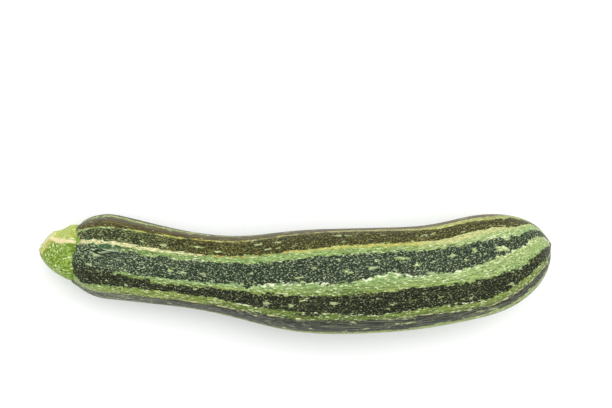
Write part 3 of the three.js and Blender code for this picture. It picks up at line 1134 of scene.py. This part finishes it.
# %% Paint the stem's colours
STEM_DYES = {"fresh": dye(108, 138, 34), "yellow_and_bounce": dye(178, 188, 88), "rim": dye(212, 196, 116)}
YELLOW_BOUNCE_STARTS = (-4, 14)
YELLOW_BOUNCE_STOPS = (100, 140)
RIM_FADES = (0.2, 3.0)
RIM_STRENGTH = 0.85
CREAM_RIDGE = 0.9
OTHER_RIDGES = -0.1
BEYOND_CUT = 2.0
stem_around = np.degrees(np.arctan2(stem_places[:, 1], stem_places[:, 2]))
stem_per_degree = np.radians(1) * np.hypot(stem_places[:, 1], stem_places[:, 2]) / MM
# The upper side's yellow is partly the stem's own tone and partly painted yellow bounce light.
yellow_and_bounce = smooth_step(stem_around, *YELLOW_BOUNCE_STARTS) * (1 - smooth_step(stem_around, *YELLOW_BOUNCE_STOPS))
stem_colour = STEM_DYES["fresh"] + (STEM_DYES["yellow_and_bounce"] - STEM_DYES["fresh"]) * yellow_and_bounce[:, None]
rim_share = (1 - smooth_step(off_cut, *RIM_FADES))[:, None] * RIM_STRENGTH
stem_colour = stem_colour * (1 - rim_share) + STEM_DYES["rim"] * rim_share
store(stem, "stem_colour", "FLOAT_COLOR", stem_colour)
ridge = np.full(len(stem_around), FAR_OUTSIDE)
for number in range(MAIN_RIBS):
    half = OTHER_RIDGES if number else CREAM_RIDGE
    sideways = degrees_from(number * ROUND_TURN / MAIN_RIBS, stem_around) * stem_per_degree
    ridge = np.maximum(ridge, half - np.abs(sideways))
store(stem, "ridge", "FLOAT", ridge)
store(stem, "cut_ring", "FLOAT", np.where(on_face, out_from_middle / cut_radius, BEYOND_CUT))
print("ridges:", MAIN_RIBS, "cream corners:", int((ridge > 0).sum()))

# %% [markdown]
# ## The stem's skin and flesh
#
# The skin has fibres along the stem, pale blotches and whitish flecks. The flesh of the cut is mixed by its
# distance from the middle: pith, then a ring of vessels with darker bundles in it, then the rind.

# %% Stem material
RIDGE_CREAM = linear(224, 208, 164)
FIBRE_SHADE = linear(186, 196, 170)
BLOTCH_GREEN = linear(178, 202, 108)
STEM_FLECKS = linear(226, 232, 184)
PITH_DARK = linear(176, 182, 112)
PITH_LIGHT = linear(222, 222, 170)
VESSEL_GREEN = linear(150, 164, 90)
BUNDLE_GREEN = linear(112, 128, 62)
STEM_DULLNESS = 0.5
STEM_SHINE = 0.15


def cut_flesh(tree, ring):
    """The colours of the cut face, by the distance from its middle as a share of its radius."""
    vessels = times(tree, threshold(tree, ring, 0.5, 0.62), threshold(tree, ring, 0.86, 0.74))
    flesh = blend(tree, grain(tree, 0.6, 0.6, 3.0, 2.0), PITH_DARK, PITH_LIGHT)
    bundles = times(tree, vessels, fleck_cells(tree, 1.3, 1.3, 0.7, 2.0))
    flesh = blend(tree, times(tree, vessels, 0.45), flesh, VESSEL_GREEN)
    return blend(tree, times(tree, bundles, 0.6), flesh, BUNDLE_GREEN)


def stem_skin(tree, shader):
    """Fills the nodes of the stem's skin and its cut face."""
    fibres = threshold(tree, grain(tree, 9, 0.55, 3.0), 0.36, 0.64)
    shade = blend(tree, fibres, FIBRE_SHADE, WHITE)
    skin = blend(tree, 1.0, painted(tree, "stem_colour"), shade, "MULTIPLY")
    blotches = threshold(tree, grain(tree, 1.2, 0.8, 3.0, 3.0), 0.48, 0.6)
    skin = blend(tree, times(tree, blotches, 0.5), skin, BLOTCH_GREEN)
    flecks = fleck_cells(tree, 1.5, 0.9, 0.4, 5.0, 1.3)
    skin = blend(tree, times(tree, flecks, 0.75), skin, STEM_FLECKS)
    wander = swing(tree, grain(tree, 3, 1.0, 3.0), 2.4)
    on_ridge = threshold(tree, plus(tree, painted(tree, "ridge", "Fac"), wander), -0.3, 0.4)
    skin = blend(tree, times(tree, on_ridge, 0.85), skin, RIDGE_CREAM)
    ring = plus(tree, painted(tree, "cut_ring", "Fac"), times(tree, wander, 0.05))
    skin = blend(tree, threshold(tree, ring, 1.06, 0.98), skin, cut_flesh(tree, ring))
    tree.links.new(skin, shader.inputs["Base Color"])
    dull = plus(tree, STEM_DULLNESS, times(tree, blotches, 0.12))
    tree.links.new(dull, shader.inputs["Roughness"])
    strings = times(tree, grain(tree, 8, 0.7, 3.0), 0.35)
    bumps = times(tree, grain(tree, 1.0, 0.8, 2.0), 0.15)
    uneven(tree, shader, strings, bumps, STEM_SHINE)


finish_material(stem, "stem_skin", stem_skin)

# %% [markdown]
# ## The table and the light
#
# The courgette lies on plain white paper under a large soft light a little to one side, with white all
# round, as in a light tent. So shadows are faint and wide, and the skin shows only broad dim reflections.
# The paper is far wider than the view, so that low views still see it to the edge.

# %% White paper
PAPER_SIZE = 6
PAPER_SHADES = ((0.96, 0.965, 0.97, 1), (0.975, 0.98, 0.985, 1))
bpy.ops.object.select_all(action="DESELECT")
bpy.ops.mesh.primitive_plane_add(size=PAPER_SIZE, location=(0, 0, 0))
floor = start_piece("white_paper")


def paper(tree, shader):
    """Fills the nodes of the paper: white, with a faint unevenness."""
    place = add_node(tree, "TexCoord").outputs["Object"]
    fibres = add_node(tree, "TexNoise", {"Vector": place, "Scale": 60.0, "Detail": 3.0}).outputs["Fac"]
    tree.links.new(blend(tree, fibres, *PAPER_SHADES), shader.inputs["Base Color"])
    shader.inputs["Roughness"].default_value = 0.9
    shader.inputs["Specular IOR Level"].default_value = 0.1


finish_material(floor, "white_paper", paper)

# %% Soft light all round and from one side
WORLD_LIGHT = 1.0
KEY_POWER = 17.0
KEY_SIZE = 1.8
KEY_PLACE = (0.4, 0.45, 1.5)
scene = bpy.context.scene
scene.world = bpy.data.worlds.new("light_tent")
scene.world.use_nodes = True
tent = scene.world.node_tree.nodes["Background"]
tent.inputs["Color"].default_value = (1.0, 1.0, 1.0, 1.0)
tent.inputs["Strength"].default_value = WORLD_LIGHT
bpy.ops.object.light_add(type="AREA", location=KEY_PLACE)
key = bpy.context.object
key.name = "key_light"
key.data.size = KEY_SIZE
key.data.energy = KEY_POWER
key.rotation_euler = (-key.location).to_track_quat("-Z", "Y").to_euler()
scene.view_settings.view_transform = "Standard"
print("lights: a tent at", WORLD_LIGHT, "and a key of", KEY_POWER, "W")

# %% [markdown]
# ## The camera
#
# The camera looks straight down from well above, so the courgette shows its side as it lies. The view is
# set by the width that it takes in at the height of the courgette's middle, and the courgette lies low in
# it.

# %% Camera straight above
VIEW_WIDTH = 262.3 * MM
VIEW_HEIGHT = 1.2
MIDDLE_HEIGHT = 20 * MM
VIEW_RIGHT = 5.1 * MM
VIEW_UP = 29.8 * MM
middle = (cad_box[0] + cad_box[1]) / 2
camera_place = (middle.x + VIEW_RIGHT, middle.y + VIEW_UP, VIEW_HEIGHT)
bpy.ops.object.camera_add(location=camera_place, rotation=(0, 0, 0))
camera = bpy.context.object
camera.name = "overhead_camera"
camera.data.sensor_width = 36
camera.data.lens = camera.data.sensor_width * (VIEW_HEIGHT - MIDDLE_HEIGHT) / VIEW_WIDTH
scene.camera = camera
print("lens:", round(camera.data.lens, 1), "mm")

# %% Print the frame's size
print("frame in mm:", [round(side / MM, 1) for side in cad_box[1] - cad_box[0]])
